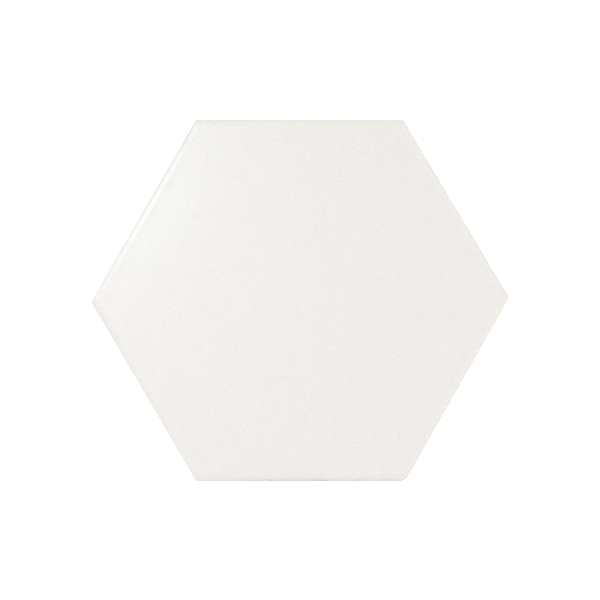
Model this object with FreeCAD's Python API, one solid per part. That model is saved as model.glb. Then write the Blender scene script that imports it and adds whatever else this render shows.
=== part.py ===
import FreeCAD, Part
import math
import os

# A dry-pressed, glazed hexagon floor tile: one fired piece, lying with its glazed face up.
# Millimetres, +Z up. The origin is the centre of the back, on the plane the tile beds on.
# +X points at a corner, and +Y crosses two of the six flats.

# The outline in plan
ACROSS_FLATS = 107.0
THICKNESS = 8.5
CORNER_RADIUS = 1.6

# The cushion edge: a quarter ellipse that rolls off the face into the side
CUSHION_WIDTH = 2.6
CUSHION_DROP = 1.2
FACE_CORNER_RADIUS = 3.0
CUSHION_CONTOURS = 8

# The bevel that the back punch leaves between the side and the back
BACK_BEVEL_INSET = 0.8
BACK_BEVEL_HEIGHT = 1.8

# The honeycomb of shallow pockets that keys the back to its adhesive
POCKET_ACROSS_FLATS = 6.4
POCKET_DEPTH = 0.8
POCKET_DRAFT_INSET = 0.3
RIB_WIDTH = 1.8
BACK_BORDER = 5.0

SIDES = 6
BELOW_THE_BACK = 0.5


def polar(radius, degrees, z):
    """The point at that distance and bearing from the Z axis, at height z."""
    turn = math.radians(degrees)
    return FreeCAD.Vector(radius * math.cos(turn), radius * math.sin(turn), z)


def hexagon_corners(across_flats, z, first_corner):
    """The six corners of a sharp hexagon; first_corner is the bearing of one, in degrees."""
    reach = across_flats / math.sqrt(3)
    return [polar(reach, first_corner + side * 360 / SIDES, z) for side in range(SIDES)]


def flat_face(*points):
    """A flat face with those corners."""
    return Part.Face(Part.makePolygon([*points, points[0]]))


def hexagon_frustum(lower, upper):
    """A flat-sided solid between two hexagons, each given by its six corners."""
    walls = []
    for side in range(SIDES):
        after = (side + 1) % SIDES
        walls.append(flat_face(lower[side], lower[after], upper[after], upper[side]))
    return Part.Solid(Part.Shell([flat_face(*lower), flat_face(*upper), *walls]))


def rounded_hexagon(across_flats, corner_radius, z):
    """The tile's contour at height z: six flats joined by six tangent arcs, with a corner on +X."""
    arc_centre_reach = (across_flats / 2 - corner_radius) * 2 / math.sqrt(3)
    half_turn = 180 / SIDES
    arcs = []
    for side in range(SIDES):
        bearing = side * 360 / SIDES
        centre = polar(arc_centre_reach, bearing, z)
        start, middle, end = [
            centre + polar(corner_radius, bearing + swing, 0) for swing in (-half_turn, 0, half_turn)
        ]
        arcs.append((Part.Arc(start, middle, end).toShape(), start, end))
    edges = []
    for side, (arc, start, end) in enumerate(arcs):
        next_start = arcs[(side + 1) % SIDES][1]
        edges += [arc, Part.LineSegment(end, next_start).toShape()]
    return Part.Wire(edges)


def outline(z):
    """The tile's widest contour, which its side follows."""
    return rounded_hexagon(ACROSS_FLATS, CORNER_RADIUS, z)


def slab():
    """The body up to the foot of the cushion edge: upright sides, with the back's bevel below them."""
    upright = Part.Face(outline(0)).extrude(FreeCAD.Vector(0, 0, THICKNESS - CUSHION_DROP))
    back_edges = [edge for edge in upright.Edges if edge.BoundBox.ZMax < BACK_BEVEL_HEIGHT]
    return upright.makeChamfer(BACK_BEVEL_HEIGHT, BACK_BEVEL_INSET, back_edges)


def cushion_contour(step):
    """One of the level contours of the cushion edge, from the side (0) up to the face."""
    climb = math.pi / 2 * step / CUSHION_CONTOURS
    share_in = 1 - math.cos(climb)
    across_flats = ACROSS_FLATS - 2 * CUSHION_WIDTH * share_in
    corner_radius = CORNER_RADIUS + (FACE_CORNER_RADIUS - CORNER_RADIUS) * share_in
    z = THICKNESS - CUSHION_DROP * (1 - math.sin(climb))
    return rounded_hexagon(across_flats, corner_radius, z)


def cushion_top():
    """The highest slice: a smooth skin over the cushion's contours, closed by the flat face."""
    contours = [cushion_contour(step) for step in range(CUSHION_CONTOURS + 1)]
    return Part.makeLoft(contours, True, False)


def pocket():
    """The tool for one keying pocket: a tapered hexagon at the origin, that starts below the back."""
    widening = 2 * POCKET_DRAFT_INSET / POCKET_DEPTH
    below_across = POCKET_ACROSS_FLATS + widening * BELOW_THE_BACK
    floor_across = POCKET_ACROSS_FLATS - widening * POCKET_DEPTH
    corner_bearing = 180 / SIDES
    below = hexagon_corners(below_across, -BELOW_THE_BACK, corner_bearing)
    floor = hexagon_corners(floor_across, POCKET_DEPTH, corner_bearing)
    return hexagon_frustum(below, floor)


def pocket_places():
    """The pocket centres: as many whole rings round the middle as leave the border plain."""
    pitch = POCKET_ACROSS_FLATS + RIB_WIDTH
    row_height = pitch * math.sqrt(3) / 2
    field_reach = ACROSS_FLATS / 2 - BACK_BEVEL_INSET - BACK_BORDER
    pocket_corner_reach = POCKET_ACROSS_FLATS / math.sqrt(3)
    rings = math.floor((field_reach - pocket_corner_reach) / row_height)
    places = []
    for row in range(-rings, rings + 1):
        in_row = 2 * rings + 1 - abs(row)
        for place in range(in_row):
            x = (place - (in_row - 1) / 2) * pitch
            places.append(FreeCAD.Vector(x, row * row_height, 0))
    return places


def keying_pockets():
    """Every pocket's tool, as one compound to cut with."""
    tool = pocket()
    return Part.makeCompound([tool.translated(place) for place in pocket_places()])


def tile():
    """The whole fired piece."""
    blank = slab().fuse(cushion_top())
    return blank.cut(keying_pockets())


os.makedirs("parts", exist_ok=True)
tile().exportStep("parts/tile.step")
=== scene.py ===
import math

import bmesh
import bpy
from mathutils import Matrix, Vector, noise


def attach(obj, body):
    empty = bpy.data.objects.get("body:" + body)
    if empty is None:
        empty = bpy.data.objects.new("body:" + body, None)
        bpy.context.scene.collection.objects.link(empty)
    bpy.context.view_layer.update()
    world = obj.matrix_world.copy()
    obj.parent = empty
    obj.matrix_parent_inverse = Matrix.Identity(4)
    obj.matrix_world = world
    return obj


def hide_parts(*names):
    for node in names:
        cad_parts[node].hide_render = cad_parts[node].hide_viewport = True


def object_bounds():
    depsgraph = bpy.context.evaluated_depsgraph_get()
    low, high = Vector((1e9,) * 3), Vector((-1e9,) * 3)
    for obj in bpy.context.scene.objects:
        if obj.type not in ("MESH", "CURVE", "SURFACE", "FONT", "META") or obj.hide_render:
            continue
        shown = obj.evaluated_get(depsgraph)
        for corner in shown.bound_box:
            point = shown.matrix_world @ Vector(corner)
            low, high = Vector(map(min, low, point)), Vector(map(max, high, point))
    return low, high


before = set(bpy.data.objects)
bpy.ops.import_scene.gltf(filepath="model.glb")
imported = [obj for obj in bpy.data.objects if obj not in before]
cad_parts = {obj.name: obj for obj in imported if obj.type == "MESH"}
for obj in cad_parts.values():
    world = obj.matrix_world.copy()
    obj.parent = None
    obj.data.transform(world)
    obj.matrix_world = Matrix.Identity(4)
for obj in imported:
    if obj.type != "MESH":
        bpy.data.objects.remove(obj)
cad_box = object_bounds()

# A pressed and glazed hexagon floor tile, modelled in millimetres and scaled to metres at the end.
# Depth means the distance inside the outline in plan, and height is measured from the back.
METRES = 0.001
SIDES = 6
SIDE_TURN = 360 / SIDES

# The outer sizes, from the frame
HALF_FLATS = round(cad_box[1][1] / METRES, 3)
THICKNESS = round(cad_box[1][2] / METRES, 3)
CORNER_REACH = HALF_FLATS * 2 / math.sqrt(3)

# Sizes that repeat the part's own
BACK_BEVEL_INSET = 0.8
BACK_BEVEL_HEIGHT = 1.8
POCKET_ACROSS_FLATS = 6.4
POCKET_DEPTH = 0.8
POCKET_DRAFT_INSET = 0.3
RIB_WIDTH = 1.8
POCKET_RINGS = 6

# The soft forms of the back: the corner where its bevel meets the flat, and the bevel's own loops
BACK_CORNER = 0.12
BACK_CORNER_HEIGHTS = (0.04, 0.14)
BEVEL_HEIGHTS = (0.5, 1.1, 1.55)
BEVEL_TOP_DEPTH = 0.03
BEVEL_TOP_RISE = 0.2

# The wall of a pocket in steps, each with how far it goes in and how deep it goes. The straight wall lies
# between the lip and the floor, and takes the depth that they leave.
POCKET_LIP = 0.1
POCKET_CORNER = 0.35
POCKET_CORNER_SEGMENTS = 2
LIP_STEPS = [(0.05, 0.0), (0.04, 0.03), (0.04, 0.08)]
FLOOR_STEPS = [(0.08, 0.10), (0.16, 0.04)]
WALL_SHARE_OF_DRAFT = 0.75

# The cushion edge: a shallow quarter ellipse up to the face, with a soft arris on the side below it
CUSHION_WIDTH = 2.82
CUSHION_RISE = 0.4
CUSHION_STEPS = 12
ARRIS_WIDTH = 0.35
ARRIS_RISE = 0.5
ARRIS_STEPS = 6
SHOULDER = THICKNESS - CUSHION_RISE - ARRIS_RISE

# This tile's own corners, by bearing: how far each lies from its regular place, and its radius at the side
CORNERS = {
    0: {"drift": (0.0, 0.75), "radius": 1.5},
    60: {"drift": (-0.45, -0.11), "radius": 1.5},
    120: {"drift": (0.24, -0.11), "radius": 1.4},
    180: {"drift": (0.09, -0.45), "radius": 1.0},
    240: {"drift": (0.185, 0.145), "radius": 0.7},
    300: {"drift": (0.18, 0.145), "radius": 2.8},
}
# How much wider each radius is at the top of the cushion, and what it shrinks to inside the rim
CORNER_OPENING = 1.4
INNER_CORNER_RADIUS = 0.6
CORNER_SEGMENTS = 8
TANGENT_SHARE = math.tan(math.radians(SIDE_TURN / 2))
SIDE_CUTS = 151

# The lie of the glaze next to the edge: tilts of the surface, in degrees, each at its own depth
BEAD_TILT = 2.8
BEAD_DEPTH = 2.35
BEAD_SPREAD = 0.96
SWELL_TILT = 0.34
SWELL_DEPTH = 8.0
SWELL_SPREAD = 4.9
CAMBER_TILT = 0.48
CAMBER_SPREAD = 32.0
WAVE_HEIGHT = 0.004
WAVES_PER_MM = 0.05

# The face's loops of edges. Each rises a little above the last, so that bridging joins them face up, and
# settle_glaze takes the rise away again.
RIM_DEPTH = 8.0
RIM_STEPS = 16
LOOP_RISE = 0.01
SHARP_DEPTH = 8.6
LATTICE_DEPTH = 9.3
LATTICE_CUTS = 79

# The glaze on the side: the height of its foot and how that sways, and how far its skin stands proud
GLAZE_FOOT = 5.3
GLAZE_SWAY = 0.7
SLOW_SWAYS_PER_MM = 0.11
QUICK_SWAYS_PER_MM = 0.5
GLAZE_LIP = 0.45
GLAZE_SKIN = 0.08
SIDE_STEPS = 14
SIDE_ROUGHNESS = 0.02
SIDE_BUMPS_PER_MM = 0.9

# How much of the body shows where the glaze breaks thin over the arris, by the bearing of the side: at its
# start, middle and end, counterclockwise. First the line along the arris, then the veil behind it. This is
# partly real thin glaze, tan along the bottom, and partly painted shade that darkens the edges by a
# different amount on each side.
THIN_AND_SHADE_LINE = {
    30: (0.47, 0.30, 0.28),
    90: (0.0, 0.0, 0.02),
    150: (0.0, 0.01, 0.0),
    210: (0.02, 0.01, 0.0),
    270: (0.04, 0.41, 0.09),
    330: (0.12, 0.14, 0.10),
}
THIN_AND_SHADE_VEIL = {
    30: (0.0, 0.0, 0.0),
    90: (0.0, 0.0, 0.05),
    150: (0.11, 0.09, 0.09),
    210: (0.17, 0.03, 0.0),
    270: (0.08, 0.16, 0.13),
    330: (0.03, 0.0, 0.0),
}
LINE_REACH = 0.5
VEIL_REACH = 1.5
THIN_AND_SHADE_HEIGHT = 0.5
PATCH_STRENGTH = 0.6
PATCHES_PER_MM = 0.25
FLECK_STRENGTH = 0.5
FLECKS_PER_MM = 1.1
NICK_DEPTH = 0.2
NICKS_PER_MM = 0.8
NICK_START = 0.25


def bearing_point(reach, bearing):
    """The point in plan at that distance and bearing from the middle."""
    turn = math.radians(bearing)
    return Vector((reach * math.cos(turn), reach * math.sin(turn), 0))


def true_corner(bearing):
    """This tile's corner at that bearing, as sharp."""
    drift = CORNERS[bearing]["drift"]
    return bearing_point(CORNER_REACH, bearing) + Vector((*drift, 0))


def true_sides():
    """Each side's bearing, a point on it, and its outward direction."""
    found = []
    for bearing in CORNERS:
        start = true_corner(bearing)
        end = true_corner((bearing + SIDE_TURN) % 360)
        along = (end - start).normalized()
        found.append((bearing + SIDE_TURN / 2, start, Vector((along.y, -along.x, 0))))
    return found


TRUE_SIDES = true_sides()


def side_depths(place):
    """How far inside each side a place lies, by the bearing of the side."""
    return {bearing: (start - place).dot(outward) for bearing, start, outward in TRUE_SIDES}


def smooth_share(value):
    """A smooth rise from 0 to 1 as the value goes from 0 to 1."""
    held = min(max(value, 0), 1)
    return held * held * (3 - 2 * held)


def sharp_hexagon(mesh, depth, height, in_triangles=False):
    """This tile's sharp hexagon, as one face or six triangles. Returns its corners by bearing."""
    lay = Matrix.Translation((0, 0, height)) @ Matrix.Rotation(math.radians(SIDE_TURN / 2), 4, "Z")
    reach = CORNER_REACH * (1 - depth / HALF_FLATS)
    made = bmesh.ops.create_circle(
        mesh, cap_ends=True, cap_tris=in_triangles, segments=SIDES, radius=reach, matrix=lay
    )
    corners = {}
    for vert in made["verts"]:
        if vert.co.xy.length > reach / 2:
            bearing = math.degrees(math.atan2(vert.co.y, vert.co.x))
            corners[round(bearing / SIDE_TURN) * round(SIDE_TURN) % 360] = vert
    for bearing, vert in corners.items():
        vert.co += Vector((*CORNERS[bearing]["drift"], 0))
    return corners


def level_contour(mesh, depth, height, rounded=True):
    """A closed loop of edges: the tile's contour at that depth and height."""
    edges_before = set(mesh.edges)
    corners = sharp_hexagon(mesh, depth, height)
    cuts = SIDE_CUTS
    if rounded:
        opening = CORNER_OPENING * smooth_share(depth / CUSHION_WIDTH)
        closing = smooth_share((depth - CUSHION_WIDTH) / (RIM_DEPTH - CUSHION_WIDTH))
        for bearing, corner in corners.items():
            radius = CORNERS[bearing]["radius"] + opening
            radius += (INNER_CORNER_RADIUS - radius) * closing
            bmesh.ops.bevel(
                mesh,
                geom=[corner],
                offset=radius * TANGENT_SHARE,
                offset_type="OFFSET",
                affect="VERTICES",
                segments=CORNER_SEGMENTS,
                profile=0.5,
                material=-1,
            )
    else:
        cuts += CORNER_SEGMENTS
    caps = [face for face in mesh.faces if edges_before.isdisjoint(face.edges)]
    bmesh.ops.delete(mesh, geom=caps, context="FACES_ONLY")
    loop = [edge for edge in mesh.edges if edge not in edges_before]
    straight = sorted(loop, key=lambda edge: edge.calc_length())[-SIDES:]
    bmesh.ops.subdivide_edges(mesh, edges=straight, cuts=cuts)
    return [edge for edge in mesh.edges if edge not in edges_before]


def cushion_height(depth):
    """The height of the cushion edge at that depth, before the glaze's own lie."""
    height = THICKNESS
    for width, rise in ((CUSHION_WIDTH, CUSHION_RISE), (ARRIS_WIDTH, ARRIS_RISE)):
        height -= rise * (1 - math.sqrt(1 - max(1 - depth / width, 0) ** 2))
    return height


def edge_section():
    """The tile's section from its back, round the side, to the rim of its face: depths and heights."""
    section = [
        (BACK_BEVEL_INSET + 4 * BACK_CORNER, 0),
        (BACK_BEVEL_INSET + BACK_CORNER, LOOP_RISE),
        (BACK_BEVEL_INSET, BACK_CORNER_HEIGHTS[0]),
        (BACK_BEVEL_INSET - BACK_CORNER / 2, BACK_CORNER_HEIGHTS[1]),
    ]
    for height in BEVEL_HEIGHTS:
        section.append((BACK_BEVEL_INSET * (1 - height / BACK_BEVEL_HEIGHT), height))
    section.append((BEVEL_TOP_DEPTH, BACK_BEVEL_HEIGHT))
    side_bottom = BACK_BEVEL_HEIGHT + BEVEL_TOP_RISE
    for step in range(SIDE_STEPS):
        section.append((0, side_bottom + (SHOULDER - side_bottom) * step / SIDE_STEPS))
    for step in range(ARRIS_STEPS):
        depth = ARRIS_WIDTH * (1 - math.cos(math.pi / 2 * step / ARRIS_STEPS))
        section.append((depth, cushion_height(depth)))
    arris_climb = math.acos(1 - ARRIS_WIDTH / CUSHION_WIDTH)
    for step in range(CUSHION_STEPS + 1):
        climb = arris_climb + (math.pi / 2 - arris_climb) * step / CUSHION_STEPS
        depth = CUSHION_WIDTH * (1 - math.cos(climb))
        section.append((depth, cushion_height(depth)))
    for step in range(1, RIM_STEPS + 1):
        depth = CUSHION_WIDTH + (RIM_DEPTH - CUSHION_WIDTH) * step / RIM_STEPS
        section.append((depth, THICKNESS + LOOP_RISE * step))
    return section


def face_lattice(mesh):
    """The middle of the face as a lattice of even triangles. Returns its outer edges."""
    edges_before = set(mesh.edges)
    sharp_hexagon(mesh, LATTICE_DEPTH, THICKNESS + LOOP_RISE * (RIM_STEPS + 2), in_triangles=True)
    spokes = [edge for edge in mesh.edges if edge not in edges_before]
    bmesh.ops.subdivide_edges(mesh, edges=spokes, cuts=LATTICE_CUTS, use_grid_fill=True)
    return [edge for edge in mesh.edges if edge not in edges_before and edge.is_boundary]


def keying_pocket(mesh):
    """One drafted pocket at the origin, with soft corners, lip and floor. Returns its vertices."""
    reach = (POCKET_ACROSS_FLATS / 2 + POCKET_LIP) * 2 / math.sqrt(3)
    verts_before = set(mesh.verts)
    made = bmesh.ops.create_circle(mesh, cap_ends=True, segments=SIDES, radius=reach)
    bmesh.ops.bevel(
        mesh,
        geom=made["verts"],
        offset=POCKET_CORNER,
        offset_type="OFFSET",
        affect="VERTICES",
        segments=POCKET_CORNER_SEGMENTS,
        profile=0.5,
        material=-1,
    )
    corner_verts = [vert for vert in mesh.verts if vert not in verts_before]
    floor = corner_verts[0].link_faces[0]
    wall_depth = POCKET_DEPTH - sum(deeper for inset, deeper in LIP_STEPS + FLOOR_STEPS)
    wall = (POCKET_DRAFT_INSET * WALL_SHARE_OF_DRAFT, wall_depth)
    for inset, deeper in LIP_STEPS + [wall] + FLOOR_STEPS:
        bmesh.ops.inset_region(
            mesh, faces=[floor], use_boundary=True, use_even_offset=True, thickness=inset, depth=0
        )
        bmesh.ops.translate(mesh, verts=list(floor.verts), vec=(0, 0, deeper))
    return [vert for vert in mesh.verts if vert not in verts_before]


def pocket_places():
    """The pocket centres, in whole rings round the middle."""
    pitch = POCKET_ACROSS_FLATS + RIB_WIDTH
    row_spacing = pitch * math.sqrt(3) / 2
    places = []
    for row in range(-POCKET_RINGS, POCKET_RINGS + 1):
        in_row = 2 * POCKET_RINGS + 1 - abs(row)
        for number in range(in_row):
            places.append(Vector(((number - (in_row - 1) / 2) * pitch, row * row_spacing, 0)))
    return places


def keyed_back(mesh, back_loop):
    """Sets the honeycomb of pockets inside the back's outer loop, and fills the ribs between them."""
    pattern = keying_pocket(mesh)
    faces = list(dict.fromkeys(face for vert in pattern for face in vert.link_faces))
    edges = list(dict.fromkeys(edge for vert in pattern for edge in vert.link_edges))
    rims = []
    for place in pocket_places():
        copied = bmesh.ops.duplicate(mesh, geom=pattern + edges + faces)["geom"]
        verts = [item for item in copied if isinstance(item, bmesh.types.BMVert)]
        rims += [item for item in copied if isinstance(item, bmesh.types.BMEdge) and item.is_boundary]
        bmesh.ops.translate(mesh, verts=verts, vec=place)
    bmesh.ops.delete(mesh, geom=pattern, context="VERTS")
    bmesh.ops.triangle_fill(mesh, use_beauty=True, edges=rims + back_loop, normal=(0, 0, -1))


def tilt_fall(tilt, at, spread, depth):
    """The height that a tilt centred at one depth takes off the surface at another."""
    return math.radians(tilt) * spread * math.sqrt(math.pi) / 2 * math.erfc((depth - at) / spread)


def glaze_fall(depths):
    """How far the glazed face is lowered by the swell and camber, less what the bead raises it."""
    fall = 0
    for depth in depths.values():
        fall -= tilt_fall(BEAD_TILT, BEAD_DEPTH, BEAD_SPREAD, depth)
        fall += tilt_fall(SWELL_TILT, SWELL_DEPTH, SWELL_SPREAD, depth)
        fall += math.radians(CAMBER_TILT) * CAMBER_SPREAD * math.exp(-depth / CAMBER_SPREAD)
    return fall


def glaze_foot(place):
    """The height at which the glaze ends on the side."""
    flat = Vector((place.x, place.y, 0))
    slow = noise.noise(flat * SLOW_SWAYS_PER_MM)
    quick = noise.noise(flat * QUICK_SWAYS_PER_MM)
    return GLAZE_FOOT + GLAZE_SWAY * (slow + quick / 2)


def along_side(strengths, share):
    """A strength between those at a side's start, middle and end; share runs from -1 to 1 along it."""
    start, middle, end = strengths
    other = end if share > 0 else start
    return middle + (other - middle) * smooth_share(abs(share))


def thin_and_shade_share(place, depths):
    """How much of the body shows through the thin glaze, with painted shade along the edges: 0 for none.
    """
    near = 0
    for bearing, depth in depths.items():
        side = round(bearing)
        share = place.dot(bearing_point(2 / CORNER_REACH, bearing + 90))
        inside = max(depth, 0)
        near += along_side(THIN_AND_SHADE_LINE[side], share) * math.exp(-((inside / LINE_REACH) ** 2))
        near += along_side(THIN_AND_SHADE_VEIL[side], share) * math.exp(-((inside / VEIL_REACH) ** 2))
    band = smooth_share((place.z - SHOULDER + THIN_AND_SHADE_HEIGHT) / THIN_AND_SHADE_HEIGHT)
    patches = PATCH_STRENGTH * noise.noise(place * PATCHES_PER_MM)
    flecks = FLECK_STRENGTH * noise.noise(place * FLECKS_PER_MM)
    return max(0, near * band * (1 + patches + flecks))


def settle_glaze(mesh):
    """Gives the smooth form the lie of a fired glaze, and records where the glaze covers and where it
    thins, together with painted shade along the edges.
    """
    cover_layer = mesh.verts.layers.float.new("glaze_cover")
    thin_and_shade_layer = mesh.verts.layers.float.new("glaze_thin_and_shade")
    middle_fall = glaze_fall(side_depths(Vector((0, 0, 0))))
    for vert in mesh.verts:
        place = vert.co.copy()
        depths = side_depths(place)
        if place.z < BACK_BEVEL_HEIGHT and min(depths.values()) > BACK_BEVEL_INSET + GLAZE_SKIN:
            continue
        flat = Vector((place.x, place.y, 0))
        inward = -flat.normalized()
        waves = WAVE_HEIGHT * (1 - noise.noise(flat * WAVES_PER_MM))
        fall = max(glaze_fall(depths) - middle_fall, 0) + waves
        if place.z > BACK_BEVEL_HEIGHT:
            level = min(place.z, THICKNESS)
            vert.co.z = level - fall * min((level - BACK_BEVEL_HEIGHT) / (SHOULDER - BACK_BEVEL_HEIGHT), 1)
        if place.z > SHOULDER - LOOP_RISE:
            cover = 1
        elif place.z > LOOP_RISE:
            cover = smooth_share((place.z - glaze_foot(place)) / GLAZE_LIP + 0.5)
            bumps = SIDE_ROUGHNESS * (noise.noise(place * SIDE_BUMPS_PER_MM) + 1) / 2
            vert.co += inward * ((1 - cover) * GLAZE_SKIN + bumps)
        else:
            cover = 0
        # The thin glaze and the painted shade along the edges, as one share
        thin = thin_and_shade_share(place, depths)
        nick = max(0, noise.noise(place * NICKS_PER_MM) - NICK_START) * thin
        vert.co += inward * NICK_DEPTH * nick
        vert[cover_layer] = cover
        vert[thin_and_shade_layer] = thin


def glazed_tile():
    """The whole fired piece, dressed: cushion edge, glazed face, bare foot and keyed back."""
    mesh = bmesh.new()
    contours = [level_contour(mesh, depth, height) for depth, height in edge_section()]
    sharp_height = THICKNESS + LOOP_RISE * (RIM_STEPS + 1)
    contours.append(level_contour(mesh, SHARP_DEPTH, sharp_height, rounded=False))
    for lower, upper in zip(contours, contours[1:]):
        bmesh.ops.bridge_loops(mesh, edges=lower + upper)
    bmesh.ops.bridge_loops(mesh, edges=contours[-1] + face_lattice(mesh))
    keyed_back(mesh, contours[0])
    settle_glaze(mesh)
    bmesh.ops.recalc_face_normals(mesh, faces=mesh.faces)
    bmesh.ops.scale(mesh, verts=mesh.verts, vec=(METRES, METRES, METRES))
    for face in mesh.faces:
        face.smooth = True
    shape = bpy.data.meshes.new("glazed_tile")
    mesh.to_mesh(shape)
    mesh.free()
    piece = bpy.data.objects.new("glazed_tile", shape)
    bpy.context.scene.collection.objects.link(piece)
    return piece


class Signal:
    """A shader socket that Python's arithmetic works on, each sign adding its Math node."""

    def __init__(self, finish, socket):
        self.finish = finish
        self.socket = socket

    def __add__(self, other):
        return self.finish.maths("ADD", self, other)

    __radd__ = __add__

    def __sub__(self, other):
        return self.finish.maths("SUBTRACT", self, other)

    def __rsub__(self, other):
        return self.finish.maths("SUBTRACT", other, self)

    def __mul__(self, other):
        return self.finish.maths("MULTIPLY", self, other)

    __rmul__ = __mul__

    def above(self, low, high):
        """A smooth rise from 0 to 1 as this goes from low to high."""
        smooth = {"interpolation_type": "SMOOTHSTEP"}
        limits = {"Value": self, "From Min": low, "From Max": high, "To Min": 0, "To Max": 1}
        return self.finish.node("ShaderNodeMapRange", smooth, limits)["Result"]


class Finish:
    """A node tree being made for a material or the surround."""

    def __init__(self, owner):
        owner.use_nodes = True
        self.tree = owner.node_tree
        self.tree.nodes.clear()

    def node(self, kind, settings=None, sockets=None):
        """Adds a node: first its settings, then each named socket's value or link. Returns its outputs."""
        made = self.tree.nodes.new(kind)
        for name, value in (settings or {}).items():
            setattr(made, name, value)
        wanted = dict(sockets or {})
        for socket in made.inputs:
            value = wanted.pop(socket.identifier, None)
            if isinstance(value, Signal):
                self.tree.links.new(value.socket, socket)
            elif value is not None:
                socket.default_value = value
        if wanted:
            raise ValueError(f"{kind} has no sockets named {sorted(wanted)}")
        return {out.identifier: Signal(self, out) for out in made.outputs}

    def maths(self, operation, first, second):
        """One number worked out from two."""
        sockets = {"Value": first, "Value_001": second}
        return self.node("ShaderNodeMath", {"operation": operation}, sockets)["Value"]

    def vector_maths(self, operation, sockets):
        """One colour or place worked out from others."""
        return self.node("ShaderNodeVectorMath", {"operation": operation}, sockets)["Vector"]

    def shade(self, colour, amount):
        """A colour scaled by a number."""
        return self.vector_maths("SCALE", {"Vector": colour, "Scale": amount})

    def times(self, first, second):
        """One colour multiplied by another."""
        return self.vector_maths("MULTIPLY", {"Vector": first, "Vector_001": second})

    def plus(self, first, second):
        """One colour added to another."""
        return self.vector_maths("ADD", {"Vector": first, "Vector_001": second})

    def blend(self, share, first, second):
        """One colour at share 0, the other at share 1."""
        settings = {"data_type": "RGBA", "blend_type": "MIX", "clamp_factor": True}
        sockets = {"Factor_Float": share, "A_Color": first, "B_Color": second}
        return self.node("ShaderNodeMix", settings, sockets)["Result_Color"]

    def speckle(self, place, per_mm, detail=2.0, roughness=0.5):
        """Noise about 0 at that many grains a millimetre."""
        sockets = {"Vector": place, "Scale": per_mm, "Detail": detail, "Roughness": roughness}
        return self.node("ShaderNodeTexNoise", {}, sockets)["Fac"] - 0.5

    def tints(self, place, per_mm, amounts):
        """A colour close to white whose red, green and blue each wander by their amount."""
        sockets = {"Vector": place, "Scale": per_mm, "Detail": 1.0}
        wander = self.node("ShaderNodeTexNoise", {}, sockets)["Color"]
        white_less = tuple(1 - amount / 2 for amount in amounts)
        spread = {"Vector": wander, "Vector_001": amounts, "Vector_002": white_less}
        return self.vector_maths("MULTIPLY_ADD", spread)

    def turned(self, place, turn):
        """A place turned about the origin, by an angle round each axis."""
        sockets = {"Vector": place, "Rotation": turn}
        return self.node("ShaderNodeVectorRotate", {"rotation_type": "EULER_XYZ"}, sockets)["Vector"]

    def attribute(self, name):
        """A value that settle_glaze recorded on the mesh."""
        return self.node("ShaderNodeAttribute", {"attribute_name": name})["Fac"]


# Colours as linear light
GLAZE_WHITE = (0.865, 0.8295, 0.7885)
# The tan of the body under thin glaze, also the colour of the painted shade along the edges
THIN_GLAZE_AND_SHADE_TAN = (0.495, 0.445, 0.38, 1.0)
BISCUIT_CREAM = (0.64, 0.56, 0.455)
# The darker colour of the pores is painted shade in their hollows
BISCUIT_PORE_SHADE = (0.36, 0.29, 0.21, 1.0)
KILN_WASH = (0.80, 0.78, 0.74, 1.0)

# The fine grain of the glaze, by red, green and blue. Its noise is turned, in radians round each axis, to
# lie at a slant to the face: it is then equally strong at every height.
GRAIN_STRENGTH = (0.274, 0.283, 0.318)
GRAIN_TINTS = (0.067, 0.063, 0.014)
GRAIN_TURN = (0.62, 0.47, 0.31)

# How strongly each kind of variation shows in the glaze and in the body
SOFT_GRAIN_TONE = 0.01
BROAD_TONE = 0.019
SPECK_TONE = 0.045
THIN_AND_SHADE_PATCHINESS = 2.4
CLAY_GRAIN_TONE = 0.4
DIE_DRAG_TONE = 0.16
CLAY_CLOUD_TONE = 0.12
PORE_SHADE_SHARE = 0.6
WASH_SHARE = 0.85
WASH_GRAIN = 0.4
RAGGED_FOOT = 0.5

# Where each of these sets in and where it is full: levels of noise, but the pores' reach is a distance in
# their cells, the foot's is in the glaze's cover, and the wash fades between two heights
SPECK_LEVELS = (0.22, 0.36)
PORE_REACH = (0.08, 0.17)
PORE_PATCH_LEVELS = (-0.08, 0.08)
WASH_LEVELS = (-0.12, 0.1)
WASH_FADE_HEIGHTS = (0.02, 0.5)
FOOT_COVER = (0.4, 0.6)

# The die drags along Z, so its marks are drawn out that way
DIE_DRAG_STRETCH = (1, 1, 0.1)
PORES_PER_MM = 0.8

GLAZE_ROUGHNESS = 0.26
BROAD_ROUGHNESS = 0.05
THIN_ROUGHNESS = 0.2
CLAY_ROUGHNESS = 0.88
REFRACTIVE_INDEX = 1.5

# The relief too fine for the mesh, in hundredths of a millimetre
RELIEF_UNIT = 0.01 * METRES
ORANGE_PEEL_RELIEF = 0.35
FINE_GRAIN_RELIEF = 0.08
CLAY_GRAIN_RELIEF = 3.2
DIE_DRAG_RELIEF = 1.6
PORE_RELIEF = 3


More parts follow.
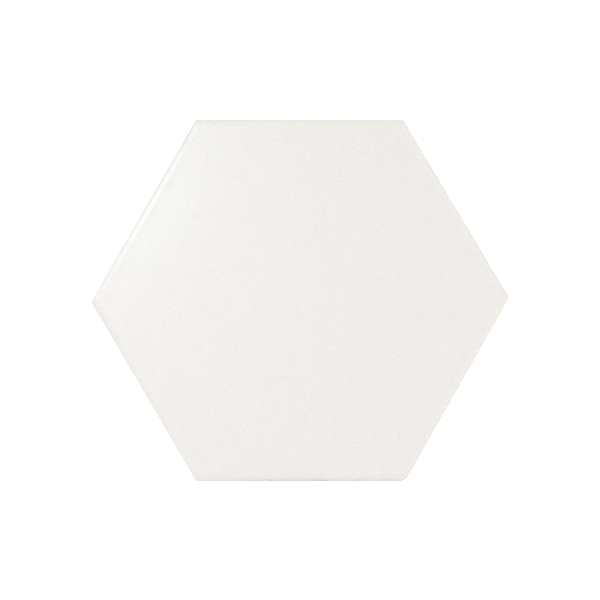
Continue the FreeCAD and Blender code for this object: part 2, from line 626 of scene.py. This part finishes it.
def satin_glaze(finish, place):
    """The off-white glaze and the body that shows where it is thin, with painted shade along the edges:
    their colour, roughness and relief.
    """
    askew = finish.turned(place, GRAIN_TURN)
    fine_grain = finish.speckle(askew, per_mm=2.8, detail=3.0, roughness=0.6)
    soft_grain = finish.speckle(place, per_mm=0.55)
    broad_tone = finish.speckle(place, per_mm=0.15)
    specks = finish.speckle(askew, per_mm=3.0, detail=0.0).above(*SPECK_LEVELS)
    tone = 1 + soft_grain * SOFT_GRAIN_TONE + broad_tone * BROAD_TONE - specks * SPECK_TONE
    grained = finish.plus(finish.shade(GRAIN_STRENGTH, fine_grain), finish.shade(GLAZE_WHITE, tone))
    glaze = finish.times(grained, finish.tints(askew, per_mm=2.2, amounts=GRAIN_TINTS))
    patches = finish.speckle(place, per_mm=1.6, detail=3.0)
    thinned_and_shaded = finish.attribute("glaze_thin_and_shade") * (1 + patches * THIN_AND_SHADE_PATCHINESS)
    # Towards tan where the glaze is thin, and as painted shade along the edges
    colour = finish.blend(thinned_and_shaded, glaze, THIN_GLAZE_AND_SHADE_TAN)
    roughness = GLAZE_ROUGHNESS + broad_tone * BROAD_ROUGHNESS + thinned_and_shaded * THIN_ROUGHNESS
    orange_peel = finish.speckle(place, per_mm=1.1, detail=1.0)
    relief = orange_peel * ORANGE_PEEL_RELIEF + fine_grain * FINE_GRAIN_RELIEF
    return colour, roughness, relief


def bare_biscuit(finish, place):
    """The cream body with pores and drag marks, painted shade in the pores, and kiln wash on its back: its
    colour and relief.
    """
    grain = finish.speckle(place, per_mm=1.5, detail=5.0, roughness=0.75)
    die_drag = finish.speckle(finish.times(place, DIE_DRAG_STRETCH), per_mm=1.6, detail=3.0)
    clouds = finish.speckle(place, per_mm=0.15)
    tone = 1 + grain * CLAY_GRAIN_TONE + die_drag * DIE_DRAG_TONE + clouds * CLAY_CLOUD_TONE
    pore_cells = {"Vector": place, "Scale": PORES_PER_MM, "Randomness": 1.0}
    pore_distance = finish.node("ShaderNodeTexVoronoi", {}, pore_cells)["Distance"]
    pore_patches = finish.speckle(place, per_mm=0.35).above(*PORE_PATCH_LEVELS)
    pores = (1 - pore_distance.above(*PORE_REACH)) * pore_patches
    # The pores are coloured darker: painted shade in their hollows
    colour = finish.blend(pores * PORE_SHADE_SHARE, finish.shade(BISCUIT_CREAM, tone), BISCUIT_PORE_SHADE)

    height = finish.node("ShaderNodeSeparateXYZ", {}, {"Vector": place})["Z"]
    smears = finish.speckle(place, per_mm=0.22, detail=5.0, roughness=0.65)
    wash_lie = smears + finish.speckle(place, per_mm=1.2) * WASH_GRAIN
    wash = wash_lie.above(*WASH_LEVELS) * (1 - height.above(*WASH_FADE_HEIGHTS))
    colour = finish.blend(wash * WASH_SHARE, colour, KILN_WASH)

    relief = grain * CLAY_GRAIN_RELIEF + die_drag * DIE_DRAG_RELIEF - pores * PORE_RELIEF
    return colour, relief


def fired_finish():
    """The whole tile's material: satin glaze down to its foot, and bare biscuit below that."""
    material = bpy.data.materials.new("satin_white_glaze")
    finish = Finish(material)
    place = finish.shade(finish.node("ShaderNodeTexCoord")["Object"], 1 / METRES)
    glaze_colour, glaze_roughness, glaze_relief = satin_glaze(finish, place)
    clay_colour, clay_relief = bare_biscuit(finish, place)

    ragged = finish.speckle(place, per_mm=1.5, detail=3.0) * RAGGED_FOOT
    glazed = (finish.attribute("glaze_cover") + ragged).above(*FOOT_COVER)
    colour = finish.blend(glazed, clay_colour, glaze_colour)
    roughness = CLAY_ROUGHNESS - glazed * (CLAY_ROUGHNESS - glaze_roughness)
    relief = clay_relief - glazed * (clay_relief - glaze_relief)
    bump = {"Height": relief, "Strength": 1.0, "Distance": RELIEF_UNIT}
    normal = finish.node("ShaderNodeBump", {}, bump)["Normal"]

    surface = {"Base Color": colour, "Roughness": roughness, "Normal": normal, "IOR": REFRACTIVE_INDEX}
    shader = finish.node("ShaderNodeBsdfPrincipled", {}, surface)["BSDF"]
    finish.node("ShaderNodeOutputMaterial", {}, {"Surface": shader})
    return material


# The surround's light, which passes from its lower to its sky level between two rises of its direction
SKY_LEVEL = 0.451
LOWER_LEVEL = 0.62
HORIZON_RISES = (-0.1, 0.0)
SURROUND_WHITE = (1.0, 1.0, 1.0, 1.0)

# The floor's glow and tone, and its sizes in millimetres: the gap lies under the tile, and the ledge
# reaches in under the tile's edge
FLOOR_GLOW = 0.86
FLOOR_TONE = (0.80, 0.80, 0.80, 1.0)
FLOOR_REACH = 4000.0
FLOOR_SEGMENTS = 64
FLOOR_GAP = 0.05
FLOOR_LEDGE = 1.1

# The camera, in metres but for its sensor, and the colour of a plain lamp
VIEW_HEIGHT = 1.2
FRAME_WIDTH = 0.17686
AIM_Y = 0.00012
FAR_LIMIT = 20
SENSOR_WIDTH = 36.0
LAMP_WHITE = (1.0, 1.0, 1.0)


def seen_directly(finish):
    """1 for rays that show the surround itself: from the camera, or through a gloss or glass."""
    path = finish.node("ShaderNodeLightPath")
    plain = (1 - path["Is Camera Ray"]) * (1 - path["Is Glossy Ray"]) * (1 - path["Is Transmission Ray"])
    return 1 - plain


def studio_surround():
    """Even light from all round, a little stronger from below, which shows as plain white."""
    world = bpy.data.worlds.new("studio_surround")
    finish = Finish(world)
    direction = finish.node("ShaderNodeTexCoord")["Generated"]
    rise = finish.node("ShaderNodeSeparateXYZ", {}, {"Vector": direction})["Z"]
    light = LOWER_LEVEL + rise.above(*HORIZON_RISES) * (SKY_LEVEL - LOWER_LEVEL)
    level = light + seen_directly(finish) * (1 - light)
    white = {"Color": SURROUND_WHITE, "Strength": level}
    glow = finish.node("ShaderNodeBackground", {}, white)["Background"]
    finish.node("ShaderNodeOutputWorld", {}, {"Surface": glow})
    bpy.context.scene.world = world


def floor_finish():
    """Matt and glowing from above, so that it shows as white and takes a shadow, and clear from below."""
    material = bpy.data.materials.new("floor")
    finish = Finish(material)
    matt = finish.node("ShaderNodeBsdfDiffuse", {}, {"Color": FLOOR_TONE})["BSDF"]
    white = {"Color": SURROUND_WHITE, "Strength": seen_directly(finish) * FLOOR_GLOW}
    glow = finish.node("ShaderNodeEmission", {}, white)["Emission"]
    both = finish.node("ShaderNodeAddShader", {}, {"Shader": matt, "Shader_001": glow})["Shader"]
    clear = finish.node("ShaderNodeBsdfTransparent")["BSDF"]
    from_below = finish.node("ShaderNodeNewGeometry")["Backfacing"]
    sides = {"Fac": from_below, "Shader": both, "Shader_001": clear}
    one_sided = finish.node("ShaderNodeMixShader", {}, sides)["Shader"]
    finish.node("ShaderNodeOutputMaterial", {}, {"Surface": one_sided})
    return material


def studio_floor():
    """A wide floor, open under the tile so that the keyed back is lit and seen."""
    mesh = bmesh.new()
    sharp_hexagon(mesh, FLOOR_LEDGE, -FLOOR_GAP)
    bmesh.ops.delete(mesh, geom=mesh.faces[:], context="FACES_ONLY")
    lay = Matrix.Translation((0, 0, -FLOOR_GAP))
    bmesh.ops.create_circle(mesh, segments=FLOOR_SEGMENTS, radius=FLOOR_REACH, matrix=lay)
    bmesh.ops.triangle_fill(mesh, edges=mesh.edges, normal=(0, 0, 1))
    bmesh.ops.scale(mesh, verts=mesh.verts, vec=(METRES, METRES, METRES))
    shape = bpy.data.meshes.new("floor")
    mesh.to_mesh(shape)
    mesh.free()
    floor = bpy.data.objects.new("floor", shape)
    bpy.context.scene.collection.objects.link(floor)
    shape.materials.append(floor_finish())


def soft_light(name, zenith, bearing, distance, radius, level, colour=LAMP_WHITE):
    """A round soft light aimed at the tile, in degrees and metres. At level 1 it would light the face, or
    the back, as much as an even surround of strength 1 does."""
    tip = math.radians(zenith)
    lamp = bpy.data.lights.new(name, "AREA")
    lamp.shape = "DISK"
    lamp.size = 2 * radius
    lamp.energy = math.pi ** 2 * level * (distance ** 2 + radius ** 2) / abs(math.cos(tip))
    lamp.color = colour
    light = bpy.data.objects.new(name, lamp)
    place = bearing_point(distance * math.sin(tip), bearing)
    place.z = distance * math.cos(tip)
    light.location = place
    light.rotation_euler = place.to_track_quat("Z", "Y").to_euler()
    light.visible_camera = False
    bpy.context.scene.collection.objects.link(light)


def studio_lights():
    """Five lights over the tile, and one under it that reaches only the back."""
    soft_light(
        "key_upper_left",
        zenith=23.2,
        bearing=147.4,
        distance=0.276,
        radius=0.037,
        level=0.111,
        colour=(0.86, 1.0, 1.106),
    )
    soft_light(
        "side_left",
        zenith=48.6,
        bearing=157.4,
        distance=0.22,
        radius=0.078,
        level=0.084,
        colour=(0.985, 1.0, 1.0),
    )
    soft_light("fill_lower_left", zenith=59.1, bearing=216.4, distance=0.238, radius=0.128, level=0.0699)
    soft_light("fill_upper_right", zenith=52.6, bearing=21.9, distance=0.406, radius=0.273, level=0.2089)
    soft_light("fill_lower_right", zenith=53.1, bearing=302.4, distance=0.232, radius=0.159, level=0.0857)
    soft_light("under_left", zenith=128.0, bearing=150.0, distance=0.5, radius=0.12, level=0.38)


def photo_camera():
    """Looks straight down on the glazed face, with +Y up in the picture."""
    lens = bpy.data.cameras.new("photo_camera")
    lens.sensor_width = SENSOR_WIDTH
    lens.lens = SENSOR_WIDTH * VIEW_HEIGHT / FRAME_WIDTH
    lens.clip_end = FAR_LIMIT
    camera = bpy.data.objects.new("photo_camera", lens)
    camera.location = (0, AIM_Y, VIEW_HEIGHT + SHOULDER * METRES)
    bpy.context.scene.collection.objects.link(camera)
    bpy.context.scene.camera = camera


tile = glazed_tile()
tile.data.materials.append(fired_finish())
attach(tile, "root")
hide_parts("tile")

studio_surround()
studio_floor()
studio_lights()
photo_camera()

scene = bpy.context.scene
scene.view_settings.view_transform = "Standard"
